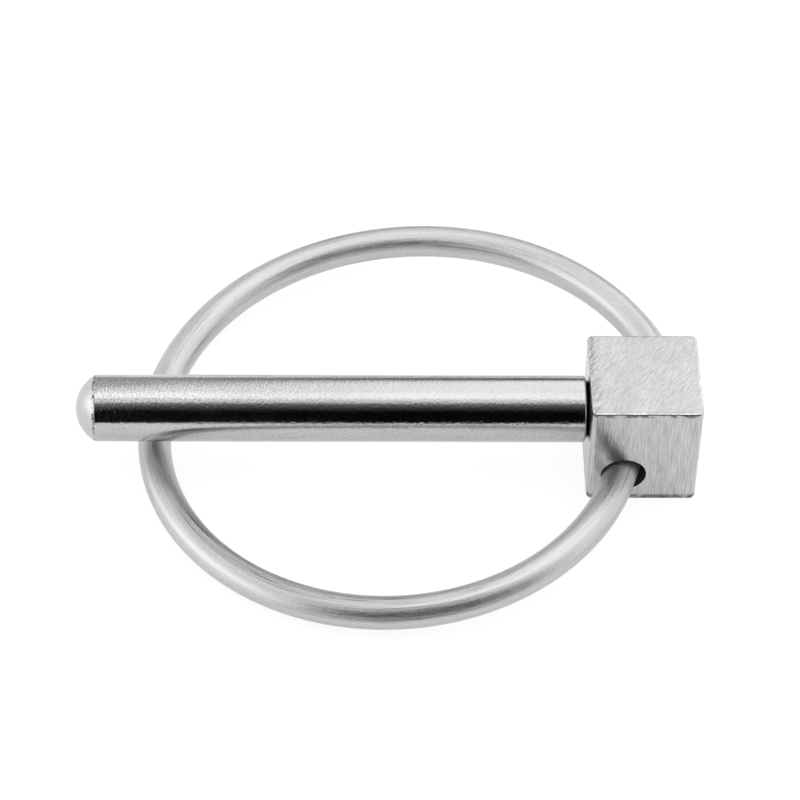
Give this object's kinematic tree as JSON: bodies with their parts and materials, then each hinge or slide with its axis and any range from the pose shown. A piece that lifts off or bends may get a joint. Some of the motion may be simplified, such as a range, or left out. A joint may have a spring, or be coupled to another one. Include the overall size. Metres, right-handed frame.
{
  "type": "lynch pin",
  "caption": "Lynch pin with a round shaft and domed tip pressed into a square head, and a wire ring that swings in an oblique hole through the head.",
  "frame": {"origin": "on the shaft's axis, where the shaft meets the head's left face", "axes": "-X from the head to the shaft's tip, -Y the front face of the head, +Z the sawn top of the head"},
  "size_m": [0.051, 0.0442, 0.0102],
  "materials": {
    "shaft": "turned and polished",
    "head": "sawn and ground, satin",
    "ring": "drawn wire, satin"
  },
  "bodies": {
    "pin": {"shaft": "shaft", "head": "head"},
    "ring": {"ring": "ring"}
  },
  "joints": [
    {"name": "ring_swing", "type": "hinge", "parent": "pin", "child": "ring", "pos_m": [0.0042, 0, -0.0029], "axis": [-0.3331, -0.9408, -0.0627], "range_deg": [-0.8, 346]}
  ]
}
